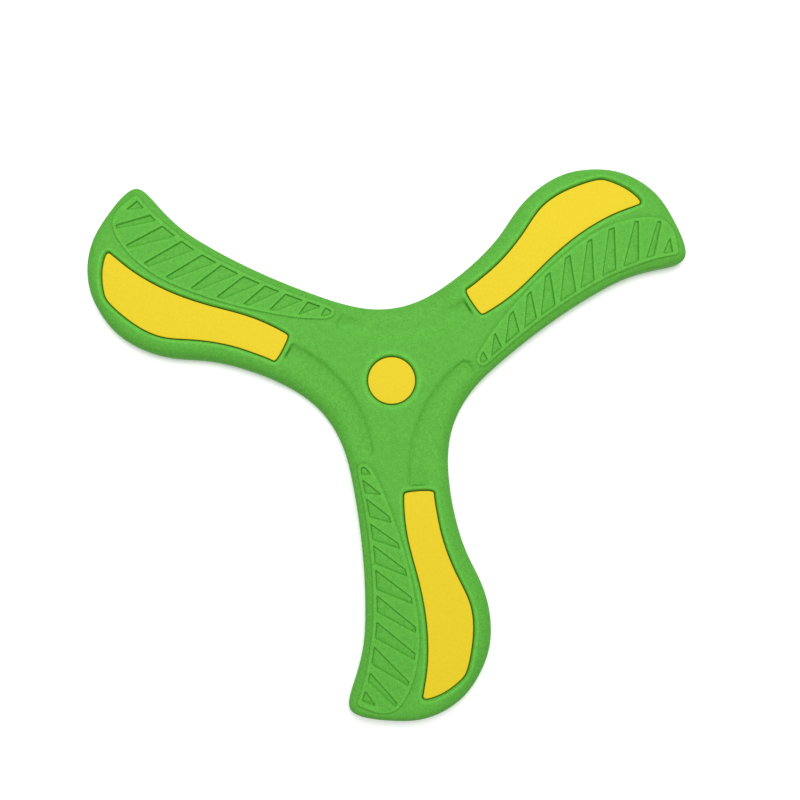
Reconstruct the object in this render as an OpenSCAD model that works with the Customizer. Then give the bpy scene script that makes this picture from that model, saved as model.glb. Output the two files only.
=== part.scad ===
// Three-bladed boomerang of soft moulded foam, with four flat foam inlays bonded into pockets.
// The flat back lies on z = 0, the Z axis is the hub axis, and one blade points along -Y.
// All three blades are the same blade turned about the hub by 120 degrees.

/* [Plan] */
// Diameter of the circle through the blade tips
tip_circle_d = 299; // [240:1:340]
// Straight steps along each span of a curved outline
curve_steps = 3; // [2:1:5]

/* [Body] */
// Thickness from the flat back to the hub face
body_t = 8.6; // [7.5:0.1:12]
// How far inwards the rounded rim of the decorated face reaches
rim_w = 2.6; // [1.5:0.1:2.7]
// How far down the rounded rim reaches
rim_h = 4; // [2:0.1:5]
// Height of the raised panel above the hub face
panel_h = 0.4; // [0.2:0.05:1]
// Width of the frame round the grip recesses of a panel
panel_frame_w = 1.6; // [1.2:0.1:2]
// Depth of the grip recesses below the top of a panel
recess_depth = 0.5; // [0.3:0.05:1]

/* [Hub] */
// Depth of the three bowed channels round the hub
channel_depth = 0.5; // [0.2:0.05:1]
// Radius of a channel's bowed inner edge
channel_r = 60.5; // [55:0.5:65]
// Distance from the hub axis to a channel's bowed inner edge
channel_gap = 17.6; // [15:0.1:20]
// Diameter of the round hub inlay
hub_inlay_d = 21; // [14:0.1:24]

/* [Inlays] */
// Thickness of the foam inlays
inlay_t = 2.6; // [1.5:0.1:3.5]
// How far the face of an inlay lies below the hub face
inlay_sink = 0.8; // [0.2:0.1:1.5]
// Thickness of the adhesive film under an inlay
film_t = 0.15; // [0.1:0.05:0.3]
// Clearance between an inlay and the wall of its pocket
pocket_gap = 0.1; // [0.05:0.05:0.3]

/* [Hidden] */

BLADES = 3;
BLADE_TURN = 360 / BLADES;
RIM_STEPS = 5;
BAND_LAP = 0.5;  // how far the rim band reaches into the core
BORE_FN = 96;
CUT = 1;  // how far a cutting shape runs past the surface it cuts

// The outlines below are drawn for a tip circle of this diameter, on the blade that points along -Y.
DRAWN_D = 299;
plan_k = tip_circle_d / DRAWN_D;

inlay_top = body_t - inlay_sink;
film_top = inlay_top - inlay_t;
pocket_floor = film_top - film_t;
panel_top = body_t + panel_h;
wall_h = body_t - rim_h;

green = "#5fb63c";
yellow = "#f0d539";
film = "#e8e2c8";

// Control points of one blade's edge, from the middle of one bay round the tip to the next bay.
blade_edge = [
    [-28.5, -16], [-20.5, -30.5], [-17, -47], [-14, -65], [-12, -85], [-11.5, -102],
    [-12, -117.5], [-16, -131.5], [-19.5, -141], [-18, -145.5], [-11, -148], [-1, -149],
    [11, -149.5], [22.5, -146], [32.5, -139], [39, -129.5], [44, -117.5], [44, -103.5],
    [40.5, -90], [33, -77], [28.5, -62.5], [25.5, -46.5], [25, -30.5]
];

// Control points of a wing inlay, from its inner end down the middle of the blade and back.
inlay_edge = [
    [5.5, -50], [5.5, -51.5], [5.5, -58], [7, -71.5], [12.5, -89], [16, -108], [16, -125.5],
    [14, -135.5], [14, -137], [13.5, -138], [14, -140], [23, -137], [30.5, -131],
    [33, -128], [36, -113], [35.5, -98.5], [28, -86], [22, -70.5], [20, -59.5],
    [18.5, -51], [19, -49.5], [15.5, -49], [9, -49.5]
];

// Control points of the raised panel, from its root down the trailing edge and back.
panel_edge = [
    [-12, -36.5], [-15.5, -38], [-15, -42], [-12.5, -54], [-10.5, -66], [-9, -79],
    [-8, -95], [-8, -108], [-10, -122], [-12, -132.5], [-14.5, -139], [-15.5, -141.5],
    [-13, -142.5], [-6, -145.5], [1, -145], [5, -141], [9, -133], [11, -126],
    [12.5, -115], [11.5, -103], [9, -89], [5.5, -75], [1, -61.5], [-3.5, -49.5],
    [-7, -43], [-9, -39]
];

// The two straight sides of each grip recess, upper side first. A side crosses the line x = recess_x
// at the height given, and falls to the right by the angle given.
recess_x = -8;
recesses = [
    [[-30, 0], [-42, 2]],
    [[-48, 38], [-50.5, 6]],
    [[-55, 38], [-61, 15]],
    [[-64.5, 35], [-70.5, 19]],
    [[-73, 37], [-80.5, 22]],
    [[-83, 37], [-91.5, 22]],
    [[-93.5, 39], [-101, 28]],
    [[-105, 39], [-112.5, 29]],
    [[-116.5, 45], [-124.5, 31]],
    [[-129.5, 48], [-133.5, 43]],
    [[-140.5, 54], [-141.5, 20]]
];

// A channel runs from this height on its own blade, beside a straight inner edge at first, to this
// height on the next blade.
channel_near_y = -46.8;
channel_side_x = 7.2;
channel_far_y = -34.8;

// One point of a uniform cubic B-spline span with control points a, b, c, d, at t from 0 to 1.
function span_point(a, b, c, d, t) =
    (pow(1 - t, 3) * a + (3 * pow(t, 3) - 6 * t * t + 4) * b
        + (-3 * pow(t, 3) + 3 * t * t + 3 * t + 1) * c + pow(t, 3) * d) / 6;

// Closed curve through the spans of the control points p.
function closed_curve(p, steps) =
    let (n = len(p))
    [for (i = [0 : n - 1], s = [0 : steps - 1])
        span_point(p[(i + n - 1) % n], p[i], p[(i + 1) % n], p[(i + 2) % n], s / steps)];

function turned(p, angle) = [for (q = p)
    [q.x * cos(angle) - q.y * sin(angle), q.x * sin(angle) + q.y * cos(angle)]];

function unit(v) = v / norm(v);

// Every point of a counter-clockwise closed outline moved inwards by d, square to the outline.
function moved_in(p, d) =
    let (n = len(p))
    [for (i = [0 : n - 1])
        let (along = unit(p[(i + 1) % n] - p[(i + n - 1) % n]))
        p[i] + d * [-along.y, along.x]];

body_outline = plan_k * closed_curve([for (k = [0 : BLADES - 1]) each turned(blade_edge, k * BLADE_TURN)],
    curve_steps);
inlay_outline = plan_k * closed_curve(inlay_edge, curve_steps);
panel_outline = plan_k * closed_curve(panel_edge, curve_steps);

// Draws its children once for each blade.
module each_blade() {
    for (k = [0 : BLADES - 1])
        rotate(k * BLADE_TURN) children();
}

// A prism with the given outline between two heights.
module prism(outline, z0, z1) {
    translate([0, 0, z0]) linear_extrude(z1 - z0) polygon(outline);
}

// The outer band of the foam blank, all the way round: an upright wall, then a rim rounded as a
// quarter ellipse up to the flat face. Its inner side lies inside the core.
module rim_band() {
    n = len(body_outline);
    rim = [for (i = [0 : RIM_STEPS])
        let (a = 90 * i / RIM_STEPS)
        [rim_w * (1 - cos(a)), wall_h + rim_h * sin(a)]];
    inner_side = [[rim_w + BAND_LAP, body_t - BAND_LAP], [rim_w + BAND_LAP, BAND_LAP], [rim_w, 0]];
    section = concat([[0, 0]], rim, inner_side);
    rings = len(section);
    points = [for (r = section) each [for (q = moved_in(body_outline, r.x)) [q.x, q.y, r.y]]];
    faces = [for (j = [0 : rings - 1], i = [0 : n - 1])
        let (a = j * n, b = (j + 1) % rings * n, next = (i + 1) % n)
        each [[a + i, b + i, a + next], [a + next, b + i, b + next]]];
    polyhedron(points, faces, convexity = 10);
}

// The plain foam blank: a flat core with the rounded band round it.
module blank() {
    prism(moved_in(body_outline, rim_w), 0, body_t);
    rim_band();
}

// The band between the two straight sides of one grip recess, wider than the panel.
module recess_band(sides) {
    reach = 30;
    function on_side(s, x) = [recess_x + x, s[0] - x * tan(s[1])];
    polygon(plan_k * [
        on_side(sides[0], -reach), on_side(sides[1], -reach),
        on_side(sides[1], reach), on_side(sides[0], reach)
    ]);
}

// The grip recesses of one blade's panel.
module panel_recesses() {
    inner = moved_in(panel_outline, panel_frame_w);
    translate([0, 0, panel_top - recess_depth]) linear_extrude(recess_depth + CUT)
        for (sides = recesses)
            intersection() {
                polygon(inner);
                recess_band(sides);
            }
}

// One channel: the band between its bowed inner edge and the rim of the bay, square at both ends.
module hub_channel() {
    reach = 60 * plan_k;
    near_y = channel_near_y * plan_k;
    far_y = channel_far_y * plan_k;
    translate([0, 0, body_t - channel_depth]) linear_extrude(channel_depth + CUT)
        intersection() {
            union() {
                rotate(BLADE_TURN / 2 - 90) translate([channel_gap * plan_k + channel_r, 0])
                    circle(channel_r, $fn = BORE_FN);
                translate([channel_side_x * plan_k, near_y]) square([reach, far_y - near_y]);
            }
            translate([0, near_y]) square(reach);
            rotate(BLADE_TURN) translate([-reach, far_y]) square(reach);
        }
}

module wing_pocket() {
    prism(moved_in(inlay_outline, -pocket_gap), pocket_floor, panel_top + CUT);
}

module hub_pocket() {
    translate([0, 0, pocket_floor])
        cylinder(d = hub_inlay_d + 2 * pocket_gap, h = panel_top + CUT - pocket_floor, $fn = BORE_FN);
}

module body() {
    color(green) difference() {
        union() {
            blank();
            each_blade() prism(panel_outline, body_t - CUT, panel_top);
        }
        each_blade() {
            wing_pocket();
            panel_recesses();
            hub_channel();
        }
        hub_pocket();
    }
}

module wing_inlay(k) {
    color(yellow) rotate(k * BLADE_TURN) prism(inlay_outline, film_top, inlay_top);
}

module wing_adhesive(k) {
    color(film) rotate(k * BLADE_TURN) prism(inlay_outline, pocket_floor, film_top);
}

module hub_inlay() {
    color(yellow) translate([0, 0, film_top]) cylinder(d = hub_inlay_d, h = inlay_t, $fn = BORE_FN);
}

module hub_adhesive() {
    color(film) translate([0, 0, pocket_floor]) cylinder(d = hub_inlay_d, h = film_t, $fn = BORE_FN);
}

body();
hub_inlay();
hub_adhesive();
wing_inlay(0);  // wing_inlay_1
wing_inlay(1);  // wing_inlay_2
wing_inlay(2);  // wing_inlay_3
wing_adhesive(0);  // wing_adhesive_1
wing_adhesive(1);  // wing_adhesive_2
wing_adhesive(2);  // wing_adhesive_3
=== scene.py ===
"""Three-bladed soft foam boomerang: the looks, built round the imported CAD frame.

The body is one moulded piece with its relief in the mesh, and the four inlays sit in its pockets.
Lengths in the plan tables are millimetres; every mesh is made in metres, in the frame's own place.
"""

from math import cos, pi, radians, sin, tan

import bmesh
import bpy
import numpy as np
from bpy.props import FloatProperty, FloatVectorProperty, PointerProperty, StringProperty
from mathutils import Euler, Matrix, Vector
from mathutils.geometry import delaunay_2d_cdt


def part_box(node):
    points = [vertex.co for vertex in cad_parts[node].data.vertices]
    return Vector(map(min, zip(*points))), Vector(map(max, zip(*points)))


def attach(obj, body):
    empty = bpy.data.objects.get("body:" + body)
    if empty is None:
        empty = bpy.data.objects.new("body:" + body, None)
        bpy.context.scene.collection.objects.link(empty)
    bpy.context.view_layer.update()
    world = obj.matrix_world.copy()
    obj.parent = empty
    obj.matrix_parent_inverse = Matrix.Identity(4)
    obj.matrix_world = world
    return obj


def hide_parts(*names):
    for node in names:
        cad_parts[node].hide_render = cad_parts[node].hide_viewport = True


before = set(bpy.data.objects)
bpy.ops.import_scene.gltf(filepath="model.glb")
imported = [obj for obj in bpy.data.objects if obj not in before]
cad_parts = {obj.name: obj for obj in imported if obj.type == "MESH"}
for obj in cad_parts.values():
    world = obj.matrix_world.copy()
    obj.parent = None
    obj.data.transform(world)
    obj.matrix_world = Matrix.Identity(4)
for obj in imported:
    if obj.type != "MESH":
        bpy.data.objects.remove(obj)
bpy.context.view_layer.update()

bl_info = {
    "name": "Foam Boomerang",
    "version": (1, 0, 0),
    "blender": (4, 5, 0),
    "location": "View3D > Sidebar > Boomerang",
    "description": "Builds a three-bladed soft foam boomerang with bonded inlays",
    "category": "Add Mesh",
}

MM = 0.001
BLADES = 3
BLADE_TURN = 2 * pi / BLADES
ROOT = "root"

INLAY_LOW, INLAY_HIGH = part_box("hub_inlay")
FILM_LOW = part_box("hub_adhesive")[0]
BODY_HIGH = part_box("body")[1]
HUB_INLAY_R = (INLAY_HIGH.x - INLAY_LOW.x) / 2 / MM

# One blade's edge, from the middle of one bay round the tip to the next bay, on the blade that
# points along -Y. Each control point is x, y, then how far in the rounding of the rim reaches,
# how far it falls in all, and how much of the rim is a straight bevel (0 to 1).
BLADE_EDGE = np.array([
    (-28.5, -16, 6.5, 4.8, 0), (-20.5, -30.5, 5.5, 4.4, 0.3), (-17, -47, 4, 4, 1),
    (-14, -65, 4, 4, 1), (-12, -85, 4, 4, 1), (-11.5, -102, 4, 4, 1),
    (-12, -117.5, 4, 4, 1), (-16, -131.5, 4, 4, 1), (-19.5, -141, 3.4, 3.9, 0.6),
    (-18, -145.5, 3, 3.8, 0), (-11, -148, 2.8, 3.8, 0), (-1, -149, 2.8, 3.8, 0),
    (11, -149.5, 3.2, 4, 0), (22.5, -146, 4, 4.4, 0), (32.5, -139, 5, 4.8, 0),
    (39, -129.5, 5.6, 5, 0), (44, -117.5, 5.8, 5, 0), (44, -103.5, 5.8, 5, 0),
    (40.5, -90, 5.8, 5, 0), (33, -77, 5.8, 5, 0), (28.5, -62.5, 5.8, 5, 0),
    (25.5, -46.5, 6, 5, 0), (25, -30.5, 6.5, 4.9, 0),
])

# Control points of a wing inlay, and the places on it of its four corners: tip, lobe, and the two
# of its inner end.
INLAY_EDGE = np.array([
    (5.5, -50), (5.5, -51.5), (5.5, -58), (7, -71.5), (12.5, -89), (16, -108), (16, -125.5),
    (14, -135.5), (14, -137), (13.5, -138), (14, -140), (23, -137), (30.5, -131),
    (33, -128), (36, -113), (35.5, -98.5), (28, -86), (22, -70.5), (20, -59.5),
    (18.5, -51), (19, -49.5), (15.5, -49), (9, -49.5),
])
INLAY_CORNERS = (0.3, 9.6, 13.0, 19.6)

# Control points of the raised panel on the trailing side, from its root down and back.
PANEL_EDGE = np.array([
    (-12, -36.5), (-15.5, -38), (-15, -42), (-12.5, -54), (-10.5, -66), (-9, -79),
    (-8, -95), (-8, -108), (-10, -122), (-12, -132.5), (-14.5, -139), (-15.5, -141.5),
    (-13, -142.5), (-6, -145.5), (1, -145), (5, -141), (9, -133), (11, -126),
    (12.5, -115), (11.5, -103), (9, -89), (5.5, -75), (1, -61.5), (-3.5, -49.5),
    (-7, -43), (-9, -39),
])
# Each grip recess lies between two straight sides. Each side crosses the line x = RECESS_X at the
# height given and falls to the right by the angle given in degrees: upper side, then lower side.
RECESS_X = -8
RECESSES = [
    (-30, 0, -42, 2), (-48, 38, -50.5, 6), (-55, 38, -61, 15), (-64.5, 35, -70.5, 19),
    (-73, 37, -80.5, 22), (-83, 37, -91.5, 22), (-93.5, 39, -101, 28), (-105, 39, -112.5, 29),
    (-116.5, 45, -124.5, 31), (-129.5, 48, -133.5, 43), (-140.5, 54, -141.5, 20),
]

# A hub channel: its bowed inner edge, and the heights where it ends on its own blade and the next.
CHANNEL_R = 60.5
CHANNEL_GAP = 17.6
CHANNEL_NEAR_Y = -46.8
CHANNEL_FAR_Y = -34.8
# A channel runs out over this length from each end, between these distances from its inner edge.
CHANNEL_RUN_OUT = 14
NEAR_RUN_OUT = (6, 10)
FAR_RUN_OUT = (4, 10)
SHOULDER_SHARE = 0.6  # of the channel's depth; the long slope takes the rest
NOT_THIS_BAY = -50.0

# Half widths of the groove at the foot of the panel and of a recess, and the swelling beside a
# lip: its place and its half width, counted in widths of the lip.
PANEL_GROOVE_W = 0.3
RECESS_GROOVE_W = 0.2
LIP_RISE_AT = 1.4
LIP_RISE_W = 0.6

# Lines where the foam's colour is made lighter, or darker where less than 0: strength, distance and
# half width. The dark lines are painted shade, and the light lines at upper edges painted highlight.
# A lighter ring beside the lip of each wing inlay and of the hub disc.
PALE_INLAY_LIP = (1.0, 0.25, 0.5)  # from the foot of the lip outwards
PALE_HUB_LIP = (0.9, 0.6, 0.9)
PAINTED_HIGHLIGHT_PANEL_TOP = (0.7, 0.4)  # painted highlight at the upper edge of the panel: strength and half width
# Painted shade in the groove at the foot of the panel.
PAINTED_SHADE_PANEL_FOOT = (-0.7, 0.3)
# Painted highlight along the top of each grip recess's wall.
PAINTED_HIGHLIGHT_RECESS_TOP = (0.45, 0.4)
# Painted shade at the foot of each grip recess's wall.
PAINTED_SHADE_RECESS_FOOT = (-0.5, 0.25)
# Painted shade along the step at the near end of a hub channel.
PAINTED_SHADE_CHANNEL_END = (-1.3, 0.2, 0.35)
SHADE_END_FROM = (0.5, 1.5)  # where that line starts and ends across the channel: place and easing
SHADE_END_TO = (6.5, 3)
# Painted shade over the floor of each grip recess.
PAINTED_SHADE_RECESS_FLOOR = 0.08
PALE_LIMITS = (-1.5, 1)
EDGE_PAINTED_SHADE = 0.5  # painted shade: how much darker the foam is made towards the edge
EDGE_PAINTED_SHADE_W = 7.0  # how far in from the edge that reaches
PALE_GAIN = 0.22  # share of the base colour that a value of 1 of painted light and tone adds

# Mesh density, with spacings in mm.
CURVE_STEPS = 14
EDGE_STEPS = 552  # round one blade
RIM_BAND = 2.5  # width of the outer band that is made as rings
RIM_RINGS = 9
CUT_STEPS = 40  # along the line where two blades meet
HUB_STEPS = 60  # of the hub pocket, in one blade's share
FACE_GAP = 1.25
LINE_GAP = 0.4
BACK_GAP = 5.0
POCKET_FLOOR_GAP = 2.0  # on a pocket's floor
LIP_ROWS = np.array([0.07, 0.18, 0.34, 0.55, 0.8, 1.15, 1.6, 2.2, 2.9])
INLAY_ROWS = 96
INLAY_COLUMNS = 28

FOAM_IOR = 1.48  # ethylene-vinyl acetate
FOAM_SPECULAR = 0.15  # the fine matt skin keeps little gloss
RAMP_ENDS = (0.3, 0.7)  # noise values that take the dark and the light tone

# The stage, in metres, with the camera's sensor in millimetres.
FLOOR_HALF = 3.0
FLOOR_Z = -0.0002
FLOOR_GLOW = 0.22
LAMP_SIZE = 0.9
LAMP_PLACE = (0.04, 0.43, 1.12)
SENSOR_W = 36.0
CLIP = (0.01, 20.0)


# ------------------------------------------------------------------ plan geometry


def soft_step(x):
    """3x^2 - 2x^3 with x held between 0 and 1: a step with a level start and end."""
    x = np.clip(x, 0, 1)
    return x * x * (3 - 2 * x)


def spline(control, places):
    """Points of a closed uniform cubic B-spline at the given places, counted in control points."""
    count = len(control)
    span = np.floor(places).astype(int)
    t = (places - span)[:, None]
    weights = (
        (1 - t) ** 3,
        3 * t**3 - 6 * t**2 + 4,
        -3 * t**3 + 3 * t**2 + 3 * t + 1,
        t**3,
    )
    return sum(w * control[(span + k - 1) % count] for k, w in enumerate(weights)) / 6


def closed_curve(control, steps=CURVE_STEPS):
    """The whole closed spline, with the same number of steps in each span."""
    return spline(control, np.arange(len(control) * steps) / steps)


def turned(points, blade):
    """Points turned about the hub by that many blades; columns after the first two are kept."""
    a = blade * BLADE_TURN
    out = np.array(points, float)
    out[..., 0] = points[..., 0] * cos(a) - points[..., 1] * sin(a)
    out[..., 1] = points[..., 0] * sin(a) + points[..., 1] * cos(a)
    return out


def inward(loop):
    """Unit normals, to the left of the way a closed loop runs, from the points on either side."""
    along = np.roll(loop, -1, 0)[:, :2] - np.roll(loop, 1, 0)[:, :2]
    along /= np.linalg.norm(along, axis=1)[:, None]
    return np.stack([-along[:, 1], along[:, 0]], 1)


def nearest(points, loop):
    """For each point: its distance inside a closed loop (outside is less than 0), and the loop's
    columns after x and y at the nearest place. A point is inside if a level ray from it crosses
    the loop an odd number of times."""
    flat = points.reshape(-1, 2)
    start = loop[:, :2]
    ab = np.roll(start, -1, 0) - start
    length2 = (ab**2).sum(1)
    result = []
    for part in np.array_split(flat, max(1, len(flat) // 2500)):
        ap = part[:, None] - start
        u = np.clip((ap * ab).sum(-1) / length2, 0, 1)
        off2 = ((ap - u[..., None] * ab) ** 2).sum(-1)
        j = off2.argmin(1)
        i = np.arange(len(part))
        spans = (ap[..., 1] < 0) != (ap[..., 1] < ab[:, 1])
        left = ab[:, 0] * ap[..., 1] > ab[:, 1] * ap[..., 0]
        crossed = (spans & (left == (ab[:, 1] > 0))).sum(1)
        side = np.where(crossed % 2 == 1, 1.0, -1.0)
        result.append(np.column_stack([side * np.sqrt(off2[i, j]), j, u[i, j]]))
    distance, j, u = np.concatenate(result).T
    j = j.astype(int)
    more = loop[:, 2:]
    carried = more[j] * (1 - u)[:, None] + np.roll(more, -1, 0)[j] * u[:, None]
    shape = points.shape[:-1]
    return distance.reshape(shape), carried.reshape(*shape, -1)


def resampled(points, count):
    """Points of an open line at equal steps of its length."""
    step = np.linalg.norm(np.diff(points[:, :2], axis=0), axis=1)
    run = np.concatenate([[0], np.cumsum(step)])
    at = np.linspace(0, run[-1], count)
    return np.stack([np.interp(at, run, c) for c in points.T], 1)


def stretch(control, first, last, count):
    """Part of a closed spline between two places, at equal steps of its length."""
    return resampled(spline(control, np.linspace(first, last, 1200)), count)


def four_sided(west, east, south, north):
    """Coons patch: the mean of the two ruled surfaces between opposite sides, less the bilinear
    surface through the four corners. Rows run from south to north, columns from west to east."""
    t = np.linspace(0, 1, len(west))[:, None, None]
    s = np.linspace(0, 1, len(south))[None, :, None]
    ruled = (1 - s) * west[:, None] + s * east[:, None] + (1 - t) * south[None] + t * north[None]
    corners = (1 - t) * ((1 - s) * south[0] + s * south[-1]) + t * ((1 - s) * north[0] + s * north[-1])
    return ruled - corners


# ------------------------------------------------------------------ relief of the decorated face


def line_at(x, place, half_width):
    """exp(-((x - place) / half_width)^2): 1 on a line at that place, and near 0 away from it."""
    return np.exp(-(((x - place) / half_width) ** 2))


def rim_fall(d, reach, drop, bevel, p):
    """Fall of the rim at distance d inside the edge. The round form is a quarter ellipse as wide
    as reach and as deep as drop. The bevelled form is a straight slope over reach, with a narrow
    quarter ellipse at its nose."""
    k = np.clip(1 - d / reach, 0, 1)
    rounded = drop * (1 - np.sqrt(1 - k**2))
    slope = p.bevel_slope * np.maximum(reach - d, 0)
    nose_drop = np.maximum(drop - p.bevel_slope * reach, 0)
    nose = nose_drop * (1 - np.sqrt(1 - np.clip(1 - d / (p.nose_w / MM), 0, 1) ** 2))
    return (1 - bevel) * rounded + bevel * (slope + nose)


def channel_distances(points):
    """Distances inside a channel: from its bowed inner edge, which runs on straight down its own
    blade, from its near end on that blade, and from its far end on the next blade."""
    bay = -pi / 2 + BLADE_TURN / 2
    cx = (CHANNEL_GAP + CHANNEL_R) * cos(bay)
    cy = (CHANNEL_GAP + CHANNEL_R) * sin(bay)
    x, y = points[..., 0], points[..., 1]
    bowed = CHANNEL_R - np.hypot(x - cx, y - cy)
    inner = np.where(y < cy, x - (cx - CHANNEL_R), bowed)
    inner = np.where(x * cos(bay) + y * sin(bay) > 0, inner, NOT_THIS_BAY)
    return inner, y - CHANNEL_NEAR_Y, turned(points, -1)[..., 1] - CHANNEL_FAR_Y


def rounded_meeting(a, b, r):
    """Distance inside two walls that meet in a corner of radius r, from the distances to each:
    r - min(max(r - a, r - b), 0) - hypot(max(r - a, 0), max(r - b, 0))."""
    from_a, from_b = r - a, r - b
    corner = np.hypot(np.maximum(from_a, 0), np.maximum(from_b, 0))
    return r - np.minimum(np.maximum(from_a, from_b), 0) - corner


def channel_fall(points, p):
    """Depth of a channel in mm. It has a shoulder and a long slope along its inner edge and round
    its far end, a short step at its near end, and runs out towards the rim at both ends."""
    inner, near, far = channel_distances(points)
    inside = rounded_meeting(inner, far, p.channel_corner / MM)
    shoulder = soft_step(inside / p.channel_edge * MM)
    dish = soft_step(inside / p.channel_ease * MM)
    share = SHOULDER_SHARE * shoulder + (1 - SHOULDER_SHARE) * dish
    for end, (first, last) in ((near, NEAR_RUN_OUT), (far, FAR_RUN_OUT)):
        towards_rim = soft_step((inner - first) / (last - first))
        share = share * (1 - towards_rim * (1 - soft_step(end / CHANNEL_RUN_OUT)))
    return p.channel_depth / MM * share * soft_step(near / p.channel_end * MM)


def side_distances(points, recess):
    """Distances below the upper side and above the lower side of a grip recess."""
    top, top_angle, foot, foot_angle = recess
    a, b = radians(top_angle), radians(foot_angle)
    x, y = points[..., 0], points[..., 1]
    below = (top - (x - RECESS_X) * tan(a) - y) * cos(a)
    above = (y - foot + (x - RECESS_X) * tan(b)) * cos(b)
    return below, above


def recess_distance(points, inside_panel, p):
    """Distance inside the nearest grip recess: the least of the distances to its frame and its two
    sides, with the corners eased by the logarithm of a sum of exponentials."""
    frame_d = inside_panel - p.panel_frame_w / MM
    ease = p.corner_r / MM
    found = []
    for recess in RECESSES:
        walls = np.stack([frame_d, *side_distances(points, recess)], -1)
        found.append(-ease * np.log(np.exp(-np.clip(walls, -20, 20) / ease).sum(-1)))
    return np.max(found, axis=0)


def relief(points, d, rim, p):
    """Height of the decorated face in mm. It is the hub face, plus the raised panel with its grip
    recesses and the grooves round its steps taken out, less the channels, the rolled lips of the
    pockets and the fall of the rim."""
    top = BODY_HIGH.z / MM - p.panel_h / MM
    step = p.step_w / MM
    inside_panel = nearest(points, closed_curve(PANEL_EDGE))[0]
    z = top + p.panel_h / MM * soft_step(inside_panel / step + 0.5)
    z -= p.groove_depth / MM * line_at(inside_panel, -step, PANEL_GROOVE_W)
    in_recess = recess_distance(points, inside_panel, p)
    z -= p.recess_depth / MM * soft_step(in_recess / step + 0.5)
    z -= p.groove_depth / MM * line_at(in_recess, step / 2, RECESS_GROOVE_W)
    z -= channel_fall(points, p) + channel_fall(turned(points, 1), p)
    gap, lip_w = p.pocket_gap / MM, p.lip_w / MM
    outside_inlay = -nearest(points, closed_curve(INLAY_EDGE))[0] - gap
    outside_hub = np.hypot(points[..., 0], points[..., 1]) - HUB_INLAY_R - gap
    for outside in (outside_inlay, outside_hub):
        k = np.clip(1 - outside / lip_w, 0, 1)
        z -= p.lip_drop / MM * (1 - np.sqrt(1 - k**2))
        z += p.lip_rise / MM * line_at(outside, LIP_RISE_AT * lip_w, LIP_RISE_W * lip_w)
    return z - rim_fall(d, *np.moveaxis(rim, -1, 0), p)


def find_painted_light_and_tone(points, d, p):
    """How much lighter the foam's colour is made; darker is less than 0. It is lighter in a ring
    beside the lips of the pockets, painted highlight along the upper edges of the panel and of the
    grip recesses, and painted shade at the foot of each step, at the near end of a channel, over
    the recess floors and towards the edge."""
    gap, step = p.pocket_gap / MM, p.step_w / MM
    outside_inlay = -nearest(points, closed_curve(INLAY_EDGE))[0] - gap
    outside_hub = np.hypot(points[..., 0], points[..., 1]) - HUB_INLAY_R - gap
    lip = p.lip_w / MM
    painted_light_and_tone = 0
    # A lighter ring beside the lip round each inlay and round the hub disc.
    for outside, (strength, away, half) in (
        (outside_inlay, PALE_INLAY_LIP),
        (outside_hub, PALE_HUB_LIP),
    ):
        painted_light_and_tone = painted_light_and_tone + strength * line_at(outside, lip + away, half)
    inside_panel = nearest(points, closed_curve(PANEL_EDGE))[0]
    in_recess = recess_distance(points, inside_panel, p)
    on_panel = inside_panel > 0
    # Painted highlight along the upper edges of the panel and the recesses, painted shade at their feet.
    for distance, place, (strength, half), where in (
        (inside_panel, step, PAINTED_HIGHLIGHT_PANEL_TOP, 1),
        (inside_panel, -step, PAINTED_SHADE_PANEL_FOOT, 1),
        (in_recess, -step, PAINTED_HIGHLIGHT_RECESS_TOP, on_panel),
        (in_recess, step / 4, PAINTED_SHADE_RECESS_FOOT, 1),
    ):
        painted_light_and_tone = painted_light_and_tone + strength * line_at(distance, place, half) * where
    # Painted shade along the step at the near end of a channel.
    inner, near, _ = channel_distances(points)
    (first, first_w), (last, last_w) = SHADE_END_FROM, SHADE_END_TO
    across = soft_step((inner - first) / first_w) * (1 - soft_step((inner - last) / last_w))
    strength, place, half = PAINTED_SHADE_CHANNEL_END
    painted_light_and_tone += strength * line_at(near, place, half) * across
    # Painted shade over the floors of the grip recesses, and towards the edge.
    painted_light_and_tone -= PAINTED_SHADE_RECESS_FLOOR * soft_step(in_recess / step + 0.5) + EDGE_PAINTED_SHADE * (1 - soft_step(d / EDGE_PAINTED_SHADE_W))
    return np.clip(painted_light_and_tone, *PALE_LIMITS)


# ------------------------------------------------------------------ where the face has its points


def moved_in(loop, distance):
    """A closed loop moved to its left, square to itself."""
    return loop[:, :2] + distance * inward(loop)


def even_loop(control, gap):
    """A closed spline at equal steps of about the gap."""
    loop = closed_curve(control, 40)
    loop = np.concatenate([loop, loop[:1]])
    length = np.linalg.norm(np.diff(loop, axis=0), axis=1).sum()
    return resampled(loop, int(length / gap) + 1)[:-1]


def lattice(low, high, gap):
    """A triangular lattice over a box."""
    rows = np.arange(low[1], high[1], gap * 0.866)
    columns = np.arange(low[0], high[0], gap)
    x, y = np.meshgrid(columns, rows)
    x[1::2] += gap / 2
    return np.stack([x.ravel(), y.ravel()], 1)


def clear_of(points, kept, gap):
    """Those points that are further than the gap from every kept point."""
    far = np.ones(len(points), bool)
    size = (kept**2).sum(1)
    for start in range(0, len(points), 2000):
        part = points[start : start + 2000]
        squared = (part**2).sum(1)[:, None] + size - 2 * part @ kept.T
        far[start : start + 2000] = squared.min(1) > gap * gap
    return points[far]


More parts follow.
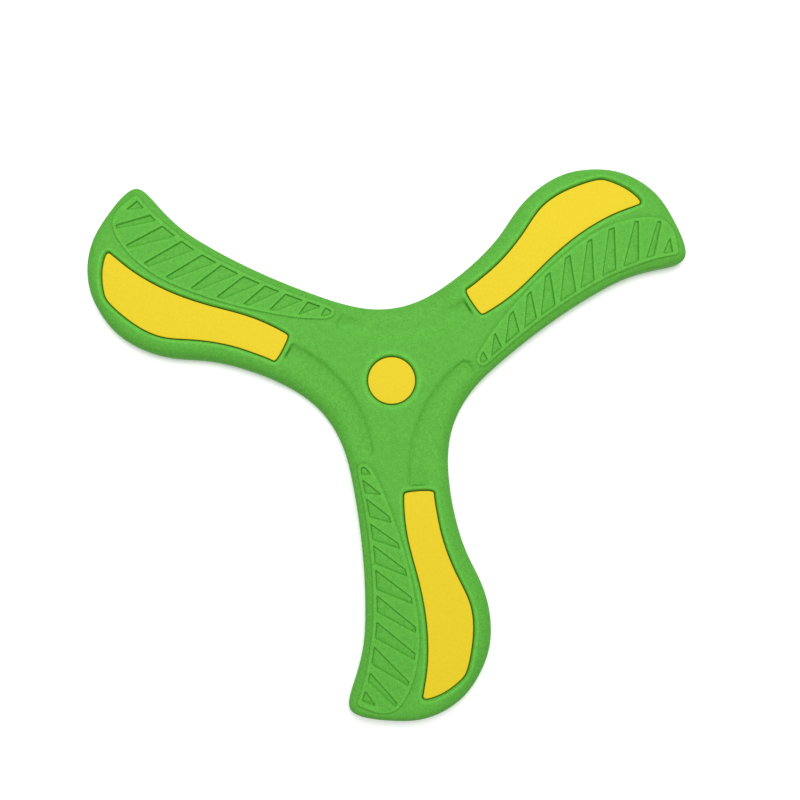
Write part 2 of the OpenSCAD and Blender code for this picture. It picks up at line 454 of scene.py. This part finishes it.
def recess_points(p):
    """Points along the walls of the grip recesses: on lines parallel to each side and to the
    frame, a little inside and outside the wall."""
    half = p.step_w / MM / 2
    panel = even_loop(PANEL_EDGE, LINE_GAP)
    x = np.arange(-20, 18, LINE_GAP)
    found = []
    for off in (-half - 0.3, -half, 0.1 * half, half, half + 0.2, half + 0.45):
        frame_line = moved_in(panel, p.panel_frame_w / MM + off)
        for recess in RECESSES:
            top, top_angle, foot, foot_angle = recess
            a, b = radians(top_angle), radians(foot_angle)
            upper = np.stack([x, top - (x - RECESS_X) * tan(a) - off / cos(a)], 1)
            lower = np.stack([x, foot - (x - RECESS_X) * tan(b) + off / cos(b)], 1)
            for points in (upper, lower, frame_line):
                below, above = side_distances(points, recess)
                near = (np.minimum(below, above) > off - 1e-6) & (np.abs(points[:, 1] - foot) < 30)
                found.append(points[near])
    found = np.concatenate(found)
    inside = nearest(found, closed_curve(PANEL_EDGE))[0] - p.panel_frame_w / MM
    return found[inside > -half - 0.36]


def channel_points(p):
    """Points along a channel: on arcs and lines parallel to its bowed inner edge, on lines
    parallel to its near end, and on a fine lattice round its far corner."""
    bay = -pi / 2 + BLADE_TURN / 2
    centre = (CHANNEL_GAP + CHANNEL_R) * np.array([cos(bay), sin(bay)])
    edge, end = p.channel_edge / MM, p.channel_end / MM
    angle = np.linspace(-pi, pi, int(2 * pi * CHANNEL_R / LINE_GAP))
    down = np.arange(centre[1], CHANNEL_NEAR_Y - 1, -LINE_GAP)
    side = np.arange(0, 20, LINE_GAP)
    found = []
    for off in (0, edge / 2, edge, 2 * edge, 3.5 * edge):
        r = CHANNEL_R - off
        arc = centre + r * np.stack([np.cos(angle), np.sin(angle)], 1)
        found.append(arc[arc[:, 1] > centre[1]])
        found.append(np.stack([np.full(len(down), centre[0] - r), down], 1))
    for off in (0, end / 2, end):
        found.append(np.stack([side, np.full(len(side), CHANNEL_NEAR_Y + off)], 1))
    corner = turned(lattice((-20, CHANNEL_FAR_Y - 1), (0, CHANNEL_FAR_Y + 8), 1.3 * LINE_GAP), 1)
    found = np.concatenate([*found, corner])
    inner, near, far = channel_distances(found)
    inside = rounded_meeting(inner, far, p.channel_corner / MM)
    found = found[(inside > -1e-6) & (near > -1e-6)]
    return np.concatenate([found, turned(found, -1)])


def face_points(border, pocket, hub_r, p):
    """Points inside one blade's share of the face: close rows beside every line of the relief, and
    a triangular lattice between them."""
    lips = [moved_in(pocket, -row) for row in LIP_ROWS]
    a = np.linspace(0, 2 * pi, 3 * HUB_STEPS, endpoint=False)
    lips += [(hub_r + row) * np.stack([np.cos(a), np.sin(a)], 1) for row in LIP_ROWS]
    half = p.step_w / MM / 2
    panel = even_loop(PANEL_EDGE, LINE_GAP)
    panel_rows = [moved_in(panel, off) for off in (-0.75, -2 * half, -half, half, half + 0.3)]
    kept = np.concatenate([border, pocket])
    for points, gap in (
        (np.concatenate(lips), 0.07),
        (recess_points(p), 0.13),
        (np.concatenate(panel_rows), 0.13),
        (channel_points(p), 0.25),
        (lattice(border.min(0), border.max(0), FACE_GAP), 0.62 * FACE_GAP),
    ):
        points = points[nearest(points, border)[0] > gap]
        points = points[nearest(points, pocket)[0] < -0.9 * gap]
        kept = np.concatenate([kept, clear_of(points, kept, gap)])
    return kept[len(border) + len(pocket) :]


# ------------------------------------------------------------------ meshes


def grid_faces(rows, columns, offset=0):
    """Quads of a grid of vertices, row by row, facing up if rows run down and columns right."""
    index = offset + np.arange(rows * columns).reshape(rows, columns)
    quads = [index[:-1, :-1], index[1:, :-1], index[1:, 1:], index[:-1, 1:]]
    return np.stack([q.ravel() for q in quads], 1)


def ring_faces(rings, count, offset=0):
    """Quads between closed rings of vertices, each ring one step inwards of the one before."""
    index = offset + np.arange(rings * count).reshape(rings, count)
    after = np.roll(index, -1, 1)
    quads = [index[:-1], after[:-1], after[1:], index[1:]]
    return np.stack([q.ravel() for q in quads], 1)


def triangles_in(border, holes, inside):
    """Constrained Delaunay triangles between a closed border and closed holes, through the points
    inside. Indices count the border first, then the holes, then the points inside. All tests are
    made on the coordinates in single precision, as the triangulation takes them."""
    loops = [border, *holes]
    points = np.concatenate([*loops, inside]).astype(np.float32).astype(float)
    edges, first, taken = [], 0, []
    for loop in loops:
        i = np.arange(len(loop))
        edges.append(first + np.stack([i, np.roll(i, -1)], 1))
        taken.append(points[first : first + len(loop)])
        first += len(loop)
    spots = [Vector(q) for q in points.tolist()]
    made = delaunay_2d_cdt(spots, np.concatenate(edges).tolist(), [], 0, 1e-7)
    source = np.array([before[0] for before in made[3]])
    triangles = source[np.array(made[2])]
    a, b, c = np.moveaxis(points[triangles], 1, 0)
    area = (b - a)[:, 0] * (c - a)[:, 1] - (b - a)[:, 1] * (c - a)[:, 0]
    middle = (a + b + c) / 3
    triangles[area < 0] = triangles[area < 0][:, ::-1]
    keep = (area != 0) & (nearest(middle, taken[0])[0] > 0)
    for hole in taken[1:]:
        keep &= nearest(middle, hole)[0] < 0
    return triangles[keep]


def new_mesh_object(name, vertices, face_sets, material, painted_light_and_tone=None):
    """A mesh object at the origin from vertices in mm and arrays of faces, doubles merged, with
    all its faces smooth. The painted light and tone of each vertex is kept as an attribute."""
    mesh = bpy.data.meshes.new(name)
    faces = [f for faces in face_sets for f in faces.tolist()]
    mesh.from_pydata((np.asarray(vertices) * MM).tolist(), [], faces)
    if painted_light_and_tone is not None:
        mesh.attributes.new("painted_light_and_tone", "FLOAT", "POINT").data.foreach_set("value", painted_light_and_tone)
    work = bmesh.new()
    work.from_mesh(mesh)
    bmesh.ops.remove_doubles(work, verts=work.verts, dist=2e-6)
    bmesh.ops.dissolve_degenerate(work, edges=work.edges, dist=1e-7)
    work.to_mesh(mesh)
    work.free()
    mesh.polygons.foreach_set("use_smooth", np.ones(len(mesh.polygons), bool))
    mesh.materials.append(material)
    piece = bpy.data.objects.new(name, mesh)
    bpy.context.scene.collection.objects.link(piece)
    return piece


def with_height(points, z):
    """x and y with a height, given as a number or as an array."""
    return np.concatenate([points, np.broadcast_to(z, points.shape[:-1])[..., None]], -1)


def body_mesh(p, material):
    """The whole body, as one blade's share turned three times. Rings carry the rim's profile round
    the edge. Inside them, triangles through chosen points take the height of relief(). Straight
    walls go down to the pocket floors, and coarser flat triangles close the back."""
    whole = np.concatenate([turned(BLADE_EDGE, k) for k in range(BLADES)])
    one_edge = stretch(whole, 0, len(BLADE_EDGE), EDGE_STEPS + 1)[:-1]
    edge = np.concatenate([turned(one_edge, k) for k in range(BLADES)])
    normal = inward(edge)[:EDGE_STEPS]
    floor = FILM_LOW.z / MM
    vertices, faces, painted_light_and_tone_parts = [], [], []

    def add(points, made, painted_light_and_tone=0.0):
        """Adds one blade's share of a surface, and its two turned copies."""
        points = points.reshape(-1, 3)
        for k in range(BLADES):
            faces.append(made + sum(len(v) for v in vertices))
            vertices.append(turned(points, k))
            painted_light_and_tone_parts.append(np.broadcast_to(painted_light_and_tone, len(points)))

    # The edge: a rounded back edge, an upright wall and the rim, from the flat back upwards.
    back_r = p.back_r / MM
    section = [(back_r * (1 - cos(a)), back_r * (1 - sin(a))) for a in np.linspace(pi / 2, 0, 5)]
    rings = [with_height(one_edge[:, :2] + d * normal, z) for d, z in section]
    depths = RIM_BAND * np.linspace(0, 1, RIM_RINGS + 1) ** 1.6
    rim = [one_edge[:, :2] + d * normal for d in depths]
    rim_z = [relief(at, np.full(EDGE_STEPS, d), one_edge[:, 2:], p) for at, d in zip(rim, depths)]
    wall_foot, wall_top = rings[-1][:, 2], rim_z[0]
    rings += [with_height(rim[0], wall_foot + f * (wall_top - wall_foot)) for f in (0.33, 0.67)]
    rings += [with_height(at, z) for at, z in zip(rim, rim_z)]
    rings = np.stack(rings)
    closed = np.concatenate([rings, turned(rings[:, :1], 1)], axis=1)
    back_part = np.linspace(0, 1, len(section))
    # Painted shade round the edge: none at the flat back, full on the upright wall, fading over the rim.
    edge_shade_share = np.concatenate([back_part, [1, 1], 1 - soft_step(depths / EDGE_PAINTED_SHADE_W)])
    edge_shade_values = np.repeat(-EDGE_PAINTED_SHADE * edge_shade_share, closed.shape[1])
    add(closed, grid_faces(*closed.shape[:2])[:, ::-1], edge_shade_values)

    # The decorated face.
    hub_r = HUB_INLAY_R + p.pocket_gap / MM
    pocket = moved_in(even_loop(INLAY_EDGE, LINE_GAP), -p.pocket_gap / MM)
    inner = rings[-1]
    outer_r = np.linalg.norm(inner[0, :2])
    outwards = inner[:1, :2] / outer_r
    cut = np.linspace(hub_r, outer_r, CUT_STEPS, endpoint=False)[1:, None] * outwards
    turn = np.linspace(BLADE_TURN, 0, HUB_STEPS + 1)[:, None]
    across = np.array([[-outwards[0, 1], outwards[0, 0]]])
    arc = hub_r * (np.cos(turn) * outwards + np.sin(turn) * across)
    border = np.concatenate([inner[:, :2], turned(inner[:1, :2], 1), turned(cut, 1)[::-1], arc, cut])
    inside = face_points(border, pocket, hub_r, p)
    points = np.concatenate([border, pocket, inside])
    d, rim_shape = nearest(points, edge[::2])
    z = relief(points, d, rim_shape, p)
    z[:EDGE_STEPS] = inner[:, 2]
    z[EDGE_STEPS] = inner[0, 2]
    add(with_height(points, z), triangles_in(border, [pocket], inside), find_painted_light_and_tone(points, d, p))

    # The pockets: walls and floors.
    lip = z[len(border) : len(border) + len(pocket)]
    wall = np.stack([with_height(pocket, lip + f * (floor - lip)) for f in (0, 0.3, 1)])
    add(np.concatenate([wall, wall[:, :1]], axis=1), grid_faces(3, len(pocket) + 1)[:, ::-1])
    spots = lattice(pocket.min(0), pocket.max(0), POCKET_FLOOR_GAP)
    spots = spots[nearest(spots, pocket)[0] > 0.3 * POCKET_FLOOR_GAP]
    add(with_height(np.concatenate([pocket, spots]), floor), triangles_in(pocket, [], spots))
    hub_lip = z[EDGE_STEPS + CUT_STEPS : EDGE_STEPS + CUT_STEPS + HUB_STEPS + 1]
    rows = [with_height(arc, hub_lip + f * (floor - hub_lip)) for f in (0, 0.3, 1)]
    rows += [with_height(arc * f, floor) for f in (0.75, 0.5, 0.25, 0)]
    add(np.stack(rows), grid_faces(len(rows), HUB_STEPS + 1))

    # The flat back.
    foot = rings[0, :, :2]
    cut = np.arange(0, outer_r, BACK_GAP)[:, None] * foot[:1] / np.linalg.norm(foot[0])
    border = np.concatenate([foot, turned(foot[:1], 1), turned(cut[1:], 1)[::-1], cut])
    spots = lattice(border.min(0), border.max(0), BACK_GAP)
    spots = spots[nearest(spots, border)[0] > 0.4 * BACK_GAP]
    add(with_height(np.concatenate([border, spots]), 0.0), triangles_in(border, [], spots)[:, ::-1])
    painted_light_and_tone = np.concatenate(painted_light_and_tone_parts)
    return new_mesh_object("foam_body", np.concatenate(vertices), faces, material, painted_light_and_tone)


def circle(radius, count):
    """Points of a circle about the hub axis, anticlockwise."""
    a = np.linspace(0, 2 * pi, count, endpoint=False)
    return radius * np.stack([np.cos(a), np.sin(a)], 1)


def sheet_profile(p):
    """Profile of a die-cut inlay from its foot: distance inwards and height, in mm. The wall is
    upright and the upper edge is a quarter circle."""
    low, high = INLAY_LOW.z / MM, INLAY_HIGH.z / MM
    r = p.inlay_edge_r / MM
    angle = np.linspace(0, pi / 2, 7)
    return [(0, low), (0, (low + high - r) / 2)] + [
        (r * (1 - cos(a)), high - r * (1 - sin(a))) for a in angle
    ]


def wing_inlay_mesh(blade, p, material):
    """A flat die-cut inlay: rings carry the edge profile round it, and a Coons patch with a very
    slight crown closes the face. The back is the same patch, flat."""
    first, tip, lobe, inner = INLAY_CORNERS
    count = len(INLAY_EDGE)
    sides = [
        stretch(INLAY_EDGE, first, tip, INLAY_ROWS + 1),
        stretch(INLAY_EDGE, tip, lobe, INLAY_COLUMNS + 1),
        stretch(INLAY_EDGE, lobe, inner, INLAY_ROWS + 1),
        stretch(INLAY_EDGE, inner, count + first, INLAY_COLUMNS + 1),
    ]
    loop = np.concatenate([s[:-1] for s in sides])
    normal = inward(loop)
    rings = np.stack([with_height(loop + d * normal, z) for d, z in sheet_profile(p)])

    def patch(ring):
        """The face inside a ring, between its four sides."""
        a, b = INLAY_ROWS, INLAY_ROWS + INLAY_COLUMNS
        c = b + INLAY_ROWS
        west, north = ring[: a + 1], ring[a : b + 1]
        east, south = ring[b : c + 1][::-1], np.append(ring[c:], ring[:1], 0)[::-1]
        return four_sided(west, east, south, north)

    top = patch(rings[-1])
    s = np.linspace(-1, 1, top.shape[1])[None, :]
    t = np.linspace(-1, 1, top.shape[0])[:, None]
    top[..., 2] += p.inlay_crown / MM * (1 - s**4) * (1 - t**8)
    under = patch(rings[0])
    ring_total = rings.shape[0] * rings.shape[1]
    points = np.concatenate([rings.reshape(-1, 3), top.reshape(-1, 3), under.reshape(-1, 3)])
    faces = [
        ring_faces(*rings.shape[:2]),
        grid_faces(*top.shape[:2], offset=ring_total),
        grid_faces(*top.shape[:2], offset=ring_total + top.shape[0] * top.shape[1])[:, ::-1],
    ]
    name = f"wing_inlay_foam_{blade + 1}"
    return new_mesh_object(name, turned(points, blade), faces, material)


def hub_inlay_mesh(p, material):
    """A flat die-cut disc: the edge profile turned about the hub axis, then rings to the middle
    with a very slight crown."""
    radius = HUB_INLAY_R
    profile = [(radius - d, z) for d, z in sheet_profile(p)]
    r_in, z_in = profile[-1]
    face = [(r_in * f, z_in + p.inlay_crown / MM * (1 - f**4)) for f in np.linspace(1, 0, 10)[1:]]
    back = [(radius * f, profile[0][1]) for f in (0, 0.5)]
    rings = np.stack([with_height(circle(r, 120), z) for r, z in back + profile + face])
    faces = [ring_faces(*rings.shape[:2])]
    return new_mesh_object("hub_inlay_foam", rings.reshape(-1, 3), faces, material)


# ------------------------------------------------------------------ materials


def linear(hex_colour):
    """An sRGB hex colour as linear RGB with alpha 1."""
    parts = [int(hex_colour[i : i + 2], 16) / 255 for i in (1, 3, 5)]
    return [c / 12.92 if c <= 0.04045 else ((c + 0.055) / 1.055) ** 2.4 for c in parts] + [1.0]


def add_node(tree, kind, settings=None, **inputs):
    """Adds a node, with its settings, its input values and its input links. A link is a socket."""
    made = tree.nodes.new(kind)
    for key, value in (settings or {}).items():
        setattr(made, key, value)
    for key, value in inputs.items():
        socket = made.inputs[int(key[2:]) if key.startswith("at") else key.replace("_", " ")]
        if isinstance(value, bpy.types.NodeSocket):
            tree.links.new(value, socket)
        else:
            socket.default_value = value
    return made


def new_material(name):
    """An empty node material with its output and shader joined."""
    material = bpy.data.materials.new(name)
    material.use_nodes = True
    tree = material.node_tree
    tree.nodes.clear()
    output = tree.nodes.new("ShaderNodeOutputMaterial")
    shader = tree.nodes.new("ShaderNodeBsdfPrincipled")
    tree.links.new(shader.outputs["BSDF"], output.inputs["Surface"])
    return material, tree, shader


def body_foam(look):
    """Closed-cell EVA foam, hot-press moulded. The skin is matt and even, with a soft mottle about
    1.5 mm across from the pressing, and a grain about 0.5 mm across from the cells under the skin.
    Real cells are finer, and are drawn this coarse to show. The painted light and tone attribute
    scales the base colour: painted shade and highlight at the steps and edge, and lighter lip rings."""
    material, tree, shader = new_material("moulded_eva_foam_green")
    place = add_node(tree, "ShaderNodeTexCoord").outputs["Object"]
    mottle = add_node(tree, "ShaderNodeTexNoise", Vector=place, Scale=650.0, Detail=2.0,
                      Roughness=0.6).outputs["Fac"]
    cells = add_node(tree, "ShaderNodeTexNoise", Vector=place, Scale=2100.0, Detail=1.0,
                     Roughness=0.5).outputs["Fac"]
    blend = add_node(tree, "ShaderNodeMath", {"operation": "MULTIPLY_ADD"},
                     at0=mottle, at1=0.5, at2=cells)
    blend = add_node(tree, "ShaderNodeMath", {"operation": "MULTIPLY"},
                     at0=blend.outputs[0], at1=0.667)
    ramp = add_node(tree, "ShaderNodeValToRGB", Fac=blend.outputs[0])
    ramp.color_ramp.elements[0].position = RAMP_ENDS[0]
    ramp.color_ramp.elements[0].color = linear(look.body_dark)
    ramp.color_ramp.elements[1].position = RAMP_ENDS[1]
    ramp.color_ramp.elements[1].color = linear(look.body_light)
    # Painted shade and highlight at the steps and the edge, and the lighter lip rings, from the mesh.
    painted_light_and_tone = add_node(tree, "ShaderNodeAttribute", {"attribute_name": "painted_light_and_tone"}).outputs["Fac"]
    gain = add_node(tree, "ShaderNodeMath", {"operation": "MULTIPLY_ADD"},
                    at0=painted_light_and_tone, at1=PALE_GAIN, at2=1.0)
    shade = add_node(tree, "ShaderNodeVectorMath", {"operation": "SCALE"},
                     at0=ramp.outputs["Color"], Scale=gain.outputs[0])
    tree.links.new(shade.outputs[0], shader.inputs["Base Color"])
    height = add_node(tree, "ShaderNodeMath", {"operation": "ADD"}, at0=mottle, at1=cells)
    bump = add_node(tree, "ShaderNodeBump", Strength=0.25, Distance=0.0001, Height=height.outputs[0])
    tree.links.new(bump.outputs["Normal"], shader.inputs["Normal"])
    shader.inputs["Roughness"].default_value = 0.62
    shader.inputs["Specular IOR Level"].default_value = FOAM_SPECULAR
    shader.inputs["IOR"].default_value = FOAM_IOR
    return material


def inlay_foam(look):
    """Closed-cell EVA foam, skived and die-cut. The face is smoother than the body's skin and
    almost even in colour."""
    material, tree, shader = new_material("die_cut_eva_foam_yellow")
    place = add_node(tree, "ShaderNodeTexCoord").outputs["Object"]
    cells = add_node(tree, "ShaderNodeTexNoise", Vector=place, Scale=900.0, Detail=2.0,
                     Roughness=0.6).outputs["Fac"]
    ramp = add_node(tree, "ShaderNodeValToRGB", Fac=cells)
    ramp.color_ramp.elements[0].position = RAMP_ENDS[0]
    ramp.color_ramp.elements[0].color = linear(look.inlay_dark)
    ramp.color_ramp.elements[1].position = RAMP_ENDS[1]
    ramp.color_ramp.elements[1].color = linear(look.inlay_light)
    tree.links.new(ramp.outputs["Color"], shader.inputs["Base Color"])
    bump = add_node(tree, "ShaderNodeBump", Strength=0.12, Distance=0.00004, Height=cells)
    tree.links.new(bump.outputs["Normal"], shader.inputs["Normal"])
    shader.inputs["Roughness"].default_value = 0.6
    shader.inputs["Specular IOR Level"].default_value = FOAM_SPECULAR
    shader.inputs["IOR"].default_value = FOAM_IOR
    return material


def contact_adhesive(look):
    """Dried contact adhesive: a thin cream film with a slight gloss and uneven thickness."""
    material, tree, shader = new_material("contact_adhesive")
    place = add_node(tree, "ShaderNodeTexCoord").outputs["Object"]
    streaks = add_node(tree, "ShaderNodeTexNoise", Vector=place, Scale=250.0, Detail=3.0)
    ramp = add_node(tree, "ShaderNodeValToRGB", Fac=streaks.outputs["Fac"])
    ramp.color_ramp.elements[0].color = linear(look.adhesive_dark)
    ramp.color_ramp.elements[1].color = linear(look.adhesive_light)
    tree.links.new(ramp.outputs["Color"], shader.inputs["Base Color"])
    shader.inputs["Roughness"].default_value = 0.4
    return material


def studio_floor(look):
    """Opal acrylic of a light table, close to white and lit a little from below."""
    material, tree, shader = new_material("opal_acrylic")
    shader.inputs["Emission Color"].default_value = linear(look.floor)
    shader.inputs["Emission Strength"].default_value = FLOOR_GLOW
    shader.inputs["Base Color"].default_value = linear(look.floor)
    shader.inputs["Roughness"].default_value = 0.9
    return material


# ------------------------------------------------------------------ settings


class BoomerangShape(bpy.types.PropertyGroup):
    """Sizes of the relief that a user would change."""

    panel_h: FloatProperty(name="Panel height",
                           description="Rise of the grip panel", default=0.0004, unit="LENGTH")
    panel_frame_w: FloatProperty(name="Panel frame",
                                 description="Width of the frame round the grip recesses",
                                 default=0.0016, unit="LENGTH")
    recess_depth: FloatProperty(name="Recess depth",
                                description="Depth of the grip recesses", default=0.0007,
                                unit="LENGTH")
    corner_r: FloatProperty(name="Recess corners", description="Easing of the corners of a grip recess",
                            default=0.00012, unit="LENGTH")
    step_w: FloatProperty(name="Step width",
                          description="Width over which a moulded step rises", default=0.0004,
                          unit="LENGTH")
    groove_depth: FloatProperty(name="Panel groove", description="Depth of the groove round the panel",
                                default=0.0002, unit="LENGTH")
    channel_depth: FloatProperty(name="Channel depth",
                                 description="Depth of the hub channels", default=0.0016,
                                 unit="LENGTH")
    channel_edge: FloatProperty(name="Channel edge", description="Width of the shoulder of a hub channel",
                                default=0.0014, unit="LENGTH")
    channel_ease: FloatProperty(name="Channel easing", description="Width of the slope into a hub channel",
                                default=0.005, unit="LENGTH")
    channel_end: FloatProperty(name="Channel end", description="Width of the step at the end of a channel",
                               default=0.0007, unit="LENGTH")
    channel_corner: FloatProperty(name="Channel corner",
                                  description="Radius of the far corner of a channel",
                                  default=0.004, unit="LENGTH")
    lip_w: FloatProperty(name="Lip width",
                         description="Width of the rolled lip round an inlay", default=0.001,
                         unit="LENGTH")
    lip_drop: FloatProperty(name="Lip drop",
                            description="Fall of the rolled lip", default=0.0015, unit="LENGTH")
    lip_rise: FloatProperty(name="Lip rise",
                            description="Swelling of the foam beside the lip", default=0.0001,
                            unit="LENGTH")
    bevel_slope: FloatProperty(name="Bevel slope",
                               description="Rise over run of the trailing bevel", default=0.42)
    nose_w: FloatProperty(name="Nose width", description="Width of the rounded nose of the trailing edge",
                          default=0.0011, unit="LENGTH")
    back_r: FloatProperty(name="Back edge radius", description="Rounding of the edge of the flat back",
                          default=0.0011, unit="LENGTH")
    pocket_gap: FloatProperty(name="Pocket gap",
                              description="Gap between an inlay and its pocket", default=0.00038,
                              unit="LENGTH")
    inlay_edge_r: FloatProperty(name="Inlay edge radius", description="Rounding of an inlay's upper edge",
                                default=0.00035, unit="LENGTH")
    inlay_crown: FloatProperty(name="Inlay crown", description="Rise of an inlay towards its middle",
                               default=0.0001, unit="LENGTH")


class BoomerangLook(bpy.types.PropertyGroup):
    """Colours that a user would change, as sRGB hex."""

    body_light: StringProperty(name="Body, light",
                               description="Light tone of the body foam", default="#66bc46")
    body_dark: StringProperty(name="Body, dark",
                              description="Dark tone of the body foam", default="#4c9c30")
    inlay_light: StringProperty(name="Inlay, light",
                                description="Light tone of the inlay foam", default="#e6cd27")
    inlay_dark: StringProperty(name="Inlay, dark",
                               description="Dark tone of the inlay foam", default="#e0c623")
    adhesive_light: StringProperty(name="Adhesive, light", description="Light tone of the adhesive",
                                   default="#ece6cf")
    adhesive_dark: StringProperty(name="Adhesive, dark",
                                  description="Dark tone of the adhesive", default="#d9cfa8")
    floor: StringProperty(name="Floor", description="Colour of the floor", default="#fafafa")


class BoomerangStage(bpy.types.PropertyGroup):
    """Camera and light."""

    lens: FloatProperty(name="Lens",
                        description="Focal length in millimetres on a 36 mm frame", default=45.0)
    distance: FloatProperty(name="Distance",
                            description="From the camera to the face of the toy", default=0.4482,
                            unit="LENGTH")
    tilt: FloatVectorProperty(name="Tilt", description="Turn of the view about X, Y and Z", size=3,
                              default=(radians(-4.92), radians(1.15), 0), subtype="EULER")
    slide: FloatVectorProperty(name="Slide", description="Place of the hub beside the view axis", size=2,
                               default=(-0.00378, 0.00857), unit="LENGTH")
    face_z: FloatProperty(name="Face height", description="Height that the distance is measured to",
                          default=0.006, unit="LENGTH")
    key_power: FloatProperty(name="Key power", description="Power of the soft box in watts", default=12.8)
    sky: FloatProperty(name="Sky strength",
                       description="Strength of the even white surroundings", default=0.42)


# ------------------------------------------------------------------ operators


class BOOMERANG_OT_body(bpy.types.Operator):
    """Builds the moulded foam body with its panels, channels and pockets"""

    bl_idname = "boomerang.body"
    bl_label = "Foam body"

    def execute(self, context):
        p = context.scene.boomerang_shape
        body = body_mesh(p, body_foam(context.scene.boomerang_look))
        body.data.set_sharp_from_angle(angle=radians(48))
        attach(body, ROOT)
        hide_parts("body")
        return {"FINISHED"}


class BOOMERANG_OT_inlays(bpy.types.Operator):
    """Builds the three wing inlays and the round hub inlay"""

    bl_idname = "boomerang.inlays"
    bl_label = "Foam inlays"

    def execute(self, context):
        p = context.scene.boomerang_shape
        foam = inlay_foam(context.scene.boomerang_look)
        pieces = [(hub_inlay_mesh(p, foam), "hub_inlay")]
        pieces += [(wing_inlay_mesh(k, p, foam), f"wing_inlay_{k + 1}") for k in range(BLADES)]
        for piece, node in pieces:
            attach(piece, ROOT)
            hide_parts(node)
        return {"FINISHED"}


class BOOMERANG_OT_adhesive(bpy.types.Operator):
    """Gives the adhesive films under the inlays their finish"""

    bl_idname = "boomerang.adhesive"
    bl_label = "Adhesive films"

    def execute(self, context):
        finish = contact_adhesive(context.scene.boomerang_look)
        for name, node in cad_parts.items():
            if "adhesive" in name:
                node.data.materials.clear()
                node.data.materials.append(finish)
        return {"FINISHED"}


class BOOMERANG_OT_stage(bpy.types.Operator):
    """Sets up the floor, the soft light and the camera"""

    bl_idname = "boomerang.stage"
    bl_label = "Stage"

    def execute(self, context):
        scene = context.scene
        stage = scene.boomerang_stage
        mesh = bpy.data.meshes.new("floor")
        corners = [(-1, -1), (1, -1), (1, 1), (-1, 1)]
        corners = [(x * FLOOR_HALF, y * FLOOR_HALF, FLOOR_Z) for x, y in corners]
        mesh.from_pydata(corners, [], [(0, 1, 2, 3)])
        mesh.materials.append(studio_floor(scene.boomerang_look))
        floor = bpy.data.objects.new("floor", mesh)
        scene.collection.objects.link(floor)

        world = bpy.data.worlds.new("white_surroundings")
        scene.world = world
        world.use_nodes = True
        background = world.node_tree.nodes["Background"]
        background.inputs["Color"].default_value = (1, 1, 1, 1)
        background.inputs["Strength"].default_value = stage.sky

        light = bpy.data.lights.new("soft_box", "AREA")
        light.shape = "RECTANGLE"
        light.size = LAMP_SIZE
        light.size_y = LAMP_SIZE
        light.energy = stage.key_power
        lamp = bpy.data.objects.new("soft_box", light)
        lamp.location = LAMP_PLACE
        lamp.rotation_euler = (-lamp.location).to_track_quat("-Z", "Y").to_euler()
        scene.collection.objects.link(lamp)

        data = bpy.data.cameras.new("camera")
        data.sensor_width = SENSOR_W
        data.lens = stage.lens
        data.clip_start, data.clip_end = CLIP
        camera = bpy.data.objects.new("camera", data)
        rx, ry, rz = stage.tilt
        turns = [Euler(turn).to_matrix() for turn in ((0, ry, 0), (rx, 0, 0), (0, 0, rz))]
        to_view = turns[0] @ turns[1] @ turns[2]
        slide_x, slide_y = stage.slide
        place = to_view.transposed() @ Vector((-slide_x, -slide_y, stage.distance))
        place += Vector((0, 0, stage.face_z))
        camera.matrix_world = Matrix.Translation(place) @ to_view.transposed().to_4x4()
        scene.collection.objects.link(camera)
        scene.camera = camera
        scene.view_settings.view_transform = "Standard"
        return {"FINISHED"}


class BOOMERANG_PT_panel(bpy.types.Panel):
    """Sidebar panel that lists the building steps"""

    bl_idname = "BOOMERANG_PT_panel"
    bl_label = "Foam Boomerang"
    bl_space_type = "VIEW_3D"
    bl_region_type = "UI"
    bl_category = "Boomerang"

    def draw(self, context):
        for step in STEPS:
            self.layout.operator(step.bl_idname)


STEPS = (BOOMERANG_OT_body, BOOMERANG_OT_inlays, BOOMERANG_OT_adhesive, BOOMERANG_OT_stage)
GROUPS = {
    "boomerang_shape": BoomerangShape,
    "boomerang_look": BoomerangLook,
    "boomerang_stage": BoomerangStage,
}


def register():
    for cls in (*GROUPS.values(), *STEPS, BOOMERANG_PT_panel):
        bpy.utils.register_class(cls)
    for name, group in GROUPS.items():
        setattr(bpy.types.Scene, name, PointerProperty(type=group))


def unregister():
    for name in GROUPS:
        delattr(bpy.types.Scene, name)
    for cls in reversed((*GROUPS.values(), *STEPS, BOOMERANG_PT_panel)):
        bpy.utils.unregister_class(cls)


def main():
    register()
    bpy.ops.boomerang.stage()
    bpy.ops.boomerang.body()
    bpy.ops.boomerang.inlays()
    bpy.ops.boomerang.adhesive()


if __name__ == "__main__":
    main()
